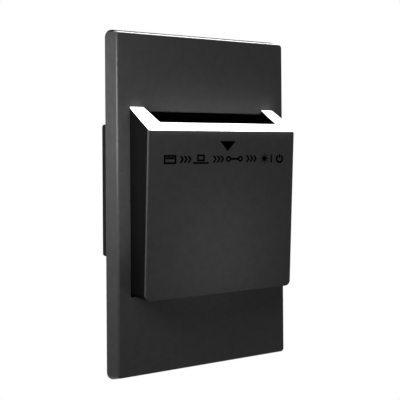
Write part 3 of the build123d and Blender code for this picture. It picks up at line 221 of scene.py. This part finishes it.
def acrylic():
    """Diffusing white acrylic, lit from inside, with its edges towards the slot painted black."""
    material, tree, shader = new_material("lit_acrylic")
    cloud = noise(tree, coordinates(tree), size_mm=6.0)
    white = tint(tree, shader, cloud, color=(0.92, 0.92, 0.92), change=0.02)
    outward = combine(tree, "MULTIPLY", axes_of(tree, "Object")["X"], axes_of(tree, "Normal")["X"])
    glow = tree.nodes.new("ShaderNodeMix")
    glow.data_type = "RGBA"
    glow.inputs["A"].default_value = PAINTED_BLACK
    tree.links.new(combine(tree, "GREATER_THAN", outward, INWARD_LIMIT_MM * MM), glow.inputs["Factor"])
    tree.links.new(white.outputs["Result"], glow.inputs["B"])
    tree.links.new(glow.outputs["Result"], shader.inputs["Base Color"])
    tree.links.new(glow.outputs["Result"], shader.inputs["Emission Color"])
    shader.inputs["Emission Strength"].default_value = 1.2
    shader.inputs["Roughness"].default_value = 0.35
    return material


def solder_mask(name, color, pitch_mm):
    """Circuit board with tracks under its solder mask."""
    material, tree, shader = new_material(name)
    vector = coordinates(tree)
    tracks = tree.nodes.new("ShaderNodeTexVoronoi")
    tracks.distance = "MANHATTAN"
    tracks.inputs["Scale"].default_value = 1 / (pitch_mm * MM)
    tree.links.new(vector, tracks.inputs["Vector"])
    tint(tree, shader, tracks.outputs["Distance"], color, change=0.22)
    weave = noise(tree, vector, size_mm=0.4)
    roughen(tree, shader, weave, low=0.28, high=0.42)
    bump(tree, shader, tracks.outputs["Distance"], depth_mm=0.03)
    return material


def glass():
    """Clear glass of the fuse's tube."""
    material, tree, shader = new_material("fuse_glass")
    smudge = noise(tree, coordinates(tree), size_mm=2.0)
    tint(tree, shader, smudge, color=(0.9, 0.93, 0.93), change=0.03)
    roughen(tree, shader, smudge, low=0.02, high=0.1)
    shader.inputs["Transmission Weight"].default_value = 0.9
    return material


# Materials: one for each of the record's material slots
DRAWN_Z = (1, 1, 0.05)
DRAWN_X = (0.05, 1, 1)
plastics = {
    "black_plastic": dict(color=(0.0012, 0.0012, 0.0012), roughness=0.5, specular=0.02),
    "housing_plastic": dict(color=(0.0045, 0.0045, 0.0047), roughness=0.5, specular=0.015,
                            grain_mm=0.6, depth_mm=0.01),
    "grey_plastic": dict(color=(0.22, 0.23, 0.24), roughness=0.5, specular=0.4),
    "white_acetal": dict(color=(0.78, 0.78, 0.74), roughness=0.38, specular=0.45,
                         grain_mm=0.8, depth_mm=0.003, change=0.03),
    "red_acetal": dict(color=(0.50, 0.03, 0.02), roughness=0.38, specular=0.45,
                       grain_mm=0.8, depth_mm=0.003),
    "switch_black": dict(color=(0.018, 0.018, 0.02), roughness=0.45, specular=0.4),
    "relay_blue": dict(color=(0.03, 0.11, 0.33), roughness=0.28, specular=0.5,
                       grain_mm=1.2, depth_mm=0.002),
    "capacitor_yellow": dict(color=(0.72, 0.50, 0.05), roughness=0.3, specular=0.5,
                             grain_mm=1.2, depth_mm=0.002),
    "sleeve_black": dict(color=(0.02, 0.02, 0.03), roughness=0.22, specular=0.5,
                         grain_mm=1.5, depth_mm=0.002),
    "varistor_blue": dict(color=(0.04, 0.15, 0.42), roughness=0.2, specular=0.5,
                          grain_mm=1.5, depth_mm=0.01),
    "resistor_tan": dict(color=(0.58, 0.45, 0.29), roughness=0.35, specular=0.5,
                         grain_mm=0.5, depth_mm=0.003),
    "lamp_white": dict(color=(0.85, 0.82, 0.62), roughness=0.4, specular=0.4),
    "fibre": dict(color=(0.42, 0.32, 0.22), roughness=0.8, specular=0.2,
                  grain_mm=0.3, depth_mm=0.02, change=0.2),
}
metals = {
    "spring_steel": dict(color=(0.52, 0.52, 0.54), roughness=0.3),
    "zinc_steel": dict(color=(0.60, 0.61, 0.63), roughness=0.36, stretch=DRAWN_Z),
    "zinc_screw": dict(color=(0.64, 0.64, 0.62), roughness=0.32),
    "green_screw": dict(color=(0.06, 0.30, 0.11), roughness=0.35),
    "brass": dict(color=(0.70, 0.52, 0.22), roughness=0.3),
    "copper": dict(color=(0.70, 0.40, 0.22), roughness=0.28, stretch=DRAWN_X),
    "winding_copper": dict(color=(0.50, 0.18, 0.06), roughness=0.3),
    "tin": dict(color=(0.66, 0.66, 0.64), roughness=0.3),
}
finishes = {
    "charcoal_plastic": charcoal(),
    "board_green": solder_mask("board_green", (0.02, 0.17, 0.07), pitch_mm=1.6),
    "board_white": solder_mask("board_white", (0.76, 0.76, 0.73), pitch_mm=2.2),
    "lit_acrylic": acrylic(),
    "fuse_glass": glass(),
}
for name, settings in plastics.items():
    finishes[name] = plastic(name, **settings)
for name, settings in metals.items():
    finishes[name] = metal(name, **settings)
print_ink = plastic("print_ink", (0.0004, 0.0004, 0.0004), roughness=0.9, specular=0.0,
                    grain_mm=0.5, depth_mm=0.002)

# Nodes with a finish other than their material slot's: the card guide is duller, and the mounting frame
# and the chassis are paler and shinier
frame_black = plastic("frame_black", (0.011, 0.011, 0.0115), roughness=0.42, specular=0.3)
guide_black = plastic("guide_black", (0.0003, 0.0003, 0.0003), roughness=0.9, specular=0.0)
own_finishes = {"card_guide": guide_black, "mounting_frame": frame_black, "chassis": frame_black}

slot_of = {part["node"]: part["material_slot"] for part in frame["record"]["subparts"]}
for name, part in nodes.items():
    part.data.materials.clear()
    part.data.materials.append(own_finishes.get(name, finishes[slot_of[name]]))

# The lever's spring, a coil that twists, is drawn from a copy of its mesh in place of the imported node.
# Its legs take up a wire's width
# at each end: the left one rests on the chassis, the right one on the lever.
spring = link_object("twisting_spring", nodes["lever_spring"].data.copy())
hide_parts("lever_spring")
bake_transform(spring)


# Print on the pocket's front panel. Its points are millimetres across and up from the middle of the
# panel's top edge.
PANEL_TOP = (0, -21.6, 28.035)
PANEL_FOOT = (0, -18.1, -35.3)
panel_top = Vector(PANEL_TOP) * MM
up = (panel_top - Vector(PANEL_FOOT) * MM).normalized()
across = Vector((1, 0, 0))
out = across.cross(up)
panel_place = Matrix.Translation(panel_top) @ Matrix((across, up, out)).transposed().to_4x4()

PRINT_T = 0.03
LINE = 0.7
RING_STEPS = 32


def prism(bm, loop, place=panel_place):
    """A flat outline with the print's thickness."""
    low = [bm.verts.new(place @ Vector((u * MM, v * MM, 0))) for u, v in loop]
    high = [bm.verts.new(place @ Vector((u * MM, v * MM, PRINT_T * MM))) for u, v in loop]
    bm.faces.new(list(reversed(low)))
    bm.faces.new(high)
    for i in range(len(loop)):
        j = (i + 1) % len(loop)
        bm.faces.new((low[i], low[j], high[j], high[i]))


def bar(bm, left, foot, right, top, place=panel_place):
    """A filled rectangle."""
    prism(bm, [(left, foot), (right, foot), (right, top), (left, top)], place)


def ring(bm, middle, height, outer, inner, start=0.0, end=360.0):
    """A flat ring or part of one, as prisms side by side."""
    step = radians((end - start) / RING_STEPS)
    for i in range(RING_STEPS):
        a = radians(start) + i * step
        b = a + step
        corners = ((inner, a), (outer, a), (outer, b), (inner, b))
        prism(bm, [(middle + radius * cos(turn), height + radius * sin(turn)) for radius, turn in corners])


def outline(bm, left, foot, right, top):
    """A rectangle drawn with a line."""
    bar(bm, left, foot, right, foot + LINE)
    bar(bm, left, top - LINE, right, top)
    bar(bm, left, foot + LINE, left + LINE, top - LINE)
    bar(bm, right - LINE, foot + LINE, right, top - LINE)


def print_piece(name, bm):
    """Turns a bmesh into a printed piece on the cover."""
    bmesh.ops.recalc_face_normals(bm, faces=bm.faces)
    mesh = bpy.data.meshes.new(name)
    bm.to_mesh(mesh)
    bm.free()
    mesh.materials.append(print_ink)
    piece = link_object(name, mesh)
    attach(piece, "cover")


# Arrow that points down, where the card goes in
ARROW_MIDDLE = 1.3
ARROW_HALF_W = 3.6
ARROW_TOP = -3.9
ARROW_TIP = -7.8
arrow = bmesh.new()
prism(arrow, [(ARROW_MIDDLE - ARROW_HALF_W, ARROW_TOP), (ARROW_MIDDLE, ARROW_TIP),
              (ARROW_MIDDLE + ARROW_HALF_W, ARROW_TOP)])
print_piece("insert_arrow", arrow)

# Row of generic signs under the arrow
SIGN_TOP = -9.05
SIGN_FOOT = -12.65
SIGN_MIDDLE = (SIGN_TOP + SIGN_FOOT) / 2
CHEVRONS = 3
CHEVRON_PITCH = 1.7
CHEVRON_LINE = 0.9
CHEVRON_REACH = 1.0
CHEVRON_INSET = 0.5
CARD_HALF_W = 2.7
CARD_INSET = 0.1
STRIPE_HALF_W = 1.9
STRIPE_FOOT = SIGN_MIDDLE + 0.1
STRIPE_TOP = SIGN_MIDDLE + 0.8
SMALL_CARD_HALF_W = 1.7
SMALL_CARD_LIFT = 1.0
SLOT_HALF_W = 3.5
TERMINAL_OUT = 2.8
TERMINAL_R = 1.2
TERMINAL_HOLE_R = 0.5
CONTACT_HALF_W = 1.7
CONTACT_HALF_H = 0.4
LAMP_R = 1.05
LAMP_PINHOLE_R = 0.0001
RAYS = 8
RAY_START = 1.3
RAY_END = 1.9
RAY_HALF_W = 0.26
DIVIDER_INSET = 0.2
POWER_R = 1.85
POWER_HOLE_R = 1.05
POWER_DROP = 0.1
POWER_OPEN_START = 125
POWER_OPEN_END = 415
POWER_BAR_HALF_W = 0.35


def chevrons(bm, left):
    """Small arrowheads that point to the right."""
    top = SIGN_TOP - CHEVRON_INSET
    foot = SIGN_FOOT + CHEVRON_INSET
    for i in range(CHEVRONS):
        start = left + i * CHEVRON_PITCH
        tip = start + CHEVRON_REACH
        prism(bm, [(start, top), (start + CHEVRON_LINE, top), (tip + CHEVRON_LINE, SIGN_MIDDLE),
                   (tip, SIGN_MIDDLE)])
        prism(bm, [(tip, SIGN_MIDDLE), (tip + CHEVRON_LINE, SIGN_MIDDLE), (start + CHEVRON_LINE, foot),
                   (start, foot)])


def card_sign(bm, middle):
    """A card on its own, with its stripe."""
    outline(bm, middle - CARD_HALF_W, SIGN_FOOT + CARD_INSET, middle + CARD_HALF_W, SIGN_TOP - CARD_INSET)
    bar(bm, middle - STRIPE_HALF_W, STRIPE_FOOT, middle + STRIPE_HALF_W, STRIPE_TOP)


def slot_sign(bm, middle):
    """A card going down into a slot."""
    outline(bm, middle - SMALL_CARD_HALF_W, SIGN_FOOT + SMALL_CARD_LIFT, middle + SMALL_CARD_HALF_W,
            SIGN_TOP)
    bar(bm, middle - SLOT_HALF_W, SIGN_FOOT, middle + SLOT_HALF_W, SIGN_FOOT + LINE)


def contact_sign(bm, middle):
    """A closed contact between two terminals."""
    for side in (-TERMINAL_OUT, TERMINAL_OUT):
        ring(bm, middle + side, SIGN_MIDDLE, TERMINAL_R, TERMINAL_HOLE_R)
    bar(bm, middle - CONTACT_HALF_W, SIGN_MIDDLE - CONTACT_HALF_H, middle + CONTACT_HALF_W,
        SIGN_MIDDLE + CONTACT_HALF_H)


def lamp_sign(bm, middle):
    """A lamp that is on."""
    ring(bm, middle, SIGN_MIDDLE, LAMP_R, LAMP_PINHOLE_R)
    centre = Matrix.Translation((middle * MM, SIGN_MIDDLE * MM, 0))
    for i in range(RAYS):
        turn = Matrix.Rotation(i * 2 * pi / RAYS, 4, "Z")
        bar(bm, RAY_START, -RAY_HALF_W, RAY_END, RAY_HALF_W, panel_place @ centre @ turn)


def divider(bm, left):
    """An upright line between two signs."""
    bar(bm, left, SIGN_FOOT + DIVIDER_INSET, left + LINE, SIGN_TOP - DIVIDER_INSET)


def power_sign(bm, middle):
    """A ring that is open at the top, with a bar in the opening."""
    ring(bm, middle, SIGN_MIDDLE - POWER_DROP, POWER_R, POWER_HOLE_R, POWER_OPEN_START, POWER_OPEN_END)
    bar(bm, middle - POWER_BAR_HALF_W, SIGN_MIDDLE + POWER_DROP, middle + POWER_BAR_HALF_W, SIGN_TOP)


# The signs from left to right, each with the place of its middle, or of its left end for an arrow or a line
SIGNS = ((card_sign, -24.4), (chevrons, -20.3), (slot_sign, -10.9), (chevrons, -5.6), (contact_sign, 4.5),
         (chevrons, 9.9), (lamp_sign, 19.0), (divider, 22.0), (power_sign, 26.5))
signs = bmesh.new()
for draw, place in SIGNS:
    draw(signs, place)
print_piece("card_signs", signs)

# Camera at the photograph's place, with its angles in radians
CAMERA_MM = (-168.855, -278.252, 19.395)
YAW = 0.54956
PITCH = 0.00622
ROLL = -0.00695
LENS_MM = 71.231
SENSOR_MM = 36.0
SHIFT_Y = -0.1287
forward = Vector((sin(YAW) * cos(PITCH), cos(YAW) * cos(PITCH), sin(PITCH)))
level = Vector((cos(YAW), -sin(YAW), 0))
upright = level.cross(forward)
camera_x = cos(ROLL) * level + sin(ROLL) * upright
camera_y = -sin(ROLL) * level + cos(ROLL) * upright
camera_data = bpy.data.cameras.new("camera")
camera_data.lens = LENS_MM
camera_data.sensor_width = SENSOR_MM
camera_data.shift_y = SHIFT_Y
camera_data.clip_start = 10 * MM
camera = link_object("camera", camera_data)
camera.matrix_world = (Matrix.Translation(Vector(CAMERA_MM) * MM)
                       @ Matrix((camera_x, camera_y, -forward)).transposed().to_4x4())
bpy.context.scene.camera = camera


# Floor and world: white where they are seen, a plain soft level where they light
FLOOR_Z = -250 * MM
FLOOR_HALF = 6000 * MM
FLOOR_GREY = (0.86, 0.86, 0.86, 1)
WORLD_LEVEL = 0.19


def seen_directly(tree):
    """1 for camera, glossy and transmission rays, else 0."""
    path = tree.nodes.new("ShaderNodeLightPath")
    either = combine(tree, "MAXIMUM", path.outputs["Is Camera Ray"], path.outputs["Is Glossy Ray"])
    return combine(tree, "MAXIMUM", either, path.outputs["Is Transmission Ray"])


def mix_by_sight(tree, lighting, seen, surface):
    """Shows one shader to rays that see it directly and another to all others."""
    mix = tree.nodes.new("ShaderNodeMixShader")
    tree.links.new(seen_directly(tree), mix.inputs["Fac"])
    tree.links.new(lighting, mix.inputs[1])
    tree.links.new(seen, mix.inputs[2])
    tree.links.new(mix.outputs["Shader"], surface)


floor_mesh = bpy.data.meshes.new("floor")
floor_corners = [(x * FLOOR_HALF, y * FLOOR_HALF, FLOOR_Z) for x, y in ((-1, -1), (1, -1), (1, 1), (-1, 1))]
floor_mesh.from_pydata(floor_corners, [], [(0, 1, 2, 3)])
floor = link_object("floor", floor_mesh)
floor_material, floor_tree, floor_shader = new_material("pale_floor")
floor_mesh.materials.append(floor_material)
floor_shader.inputs["Base Color"].default_value = FLOOR_GREY
floor_shader.inputs["Roughness"].default_value = 0.9
floor_shader.inputs["Specular IOR Level"].default_value = 0.0
floor_white = floor_tree.nodes.new("ShaderNodeEmission")
floor_white.inputs["Color"].default_value = WHITE
mix_by_sight(floor_tree, floor_shader.outputs["BSDF"], floor_white.outputs["Emission"],
             floor_tree.nodes["Material Output"].inputs["Surface"])

world = bpy.data.worlds.new("studio")
bpy.context.scene.world = world
world.use_nodes = True
world_tree = world.node_tree
seen = world_tree.nodes["Background"]
seen.inputs["Color"].default_value = WHITE
seen.inputs["Strength"].default_value = 1.0
lighting = world_tree.nodes.new("ShaderNodeBackground")
lighting.inputs["Color"].default_value = WHITE
lighting.inputs["Strength"].default_value = WORLD_LEVEL
mix_by_sight(world_tree, lighting.outputs["Background"], seen.outputs["Background"],
             world_tree.nodes["World Output"].inputs["Surface"])


# Lamps. A lamp with a height is a strip, which doesn't show in reflections.
def area_lamp(name, place, target, size, watts, height=None, spread=180.0):
    """A soft lamp in millimetres that faces a target, with its beam limited to a spread in degrees."""
    data = bpy.data.lights.new(name, "AREA")
    data.shape = "RECTANGLE"
    data.size = size * MM
    data.size_y = (height or size) * MM
    data.energy = watts
    data.spread = radians(spread)
    lamp = link_object(name, data)
    lamp.location = Vector(place) * MM
    lamp.rotation_euler = (Vector(target) - Vector(place)).to_track_quat("-Z", "Y").to_euler()
    lamp.visible_camera = False
    lamp.visible_glossy = height is None


area_lamp("left_lamp", place=(-120, -33, 41), target=(-40, -10, 27), size=60, watts=0.38)
area_lamp("front_lamp", place=(-240, -530, 600), target=(-10, 0, 0), size=350, watts=3.05)
area_lamp("back_lamp", place=(250, 400, 240), target=(0, 0, 66), size=300, watts=0.09, spread=40)
area_lamp("low_lamp", place=(30, -500, -220), target=(0, -19, -18), size=30, watts=0.0044, spread=7.5)

# What the lit rim throws: on the plate over the slot, down the plate's left strip, round the ends of its
# arms and on the panel's top edge
GLOW_MIDDLE_X = 4
STRIP_X = -37.5
STRIP_Z = 8
ARM_X = 30.8
area_lamp("rim_glow", place=(GLOW_MIDDLE_X, -14, 36), target=(GLOW_MIDDLE_X, 0, 42), size=56, watts=0.0052,
          height=2)
area_lamp("left_strip_glow", place=(STRIP_X, -16, STRIP_Z), target=(STRIP_X, 0, STRIP_Z), size=3,
          watts=0.0044, height=50)
area_lamp("panel_edge_glow", place=(0, -22.1, 28.8), target=(0, -21.6, 27.8), size=64, watts=0.0022,
          height=0.3)
for name, x in (("left_arm_glow", -ARM_X), ("right_arm_glow", ARM_X)):
    area_lamp(name, place=(x, -8.5, 38.2), target=(x, 0, 41), size=4, watts=0.00012, height=1)

bpy.context.scene.view_settings.view_transform = "Standard"
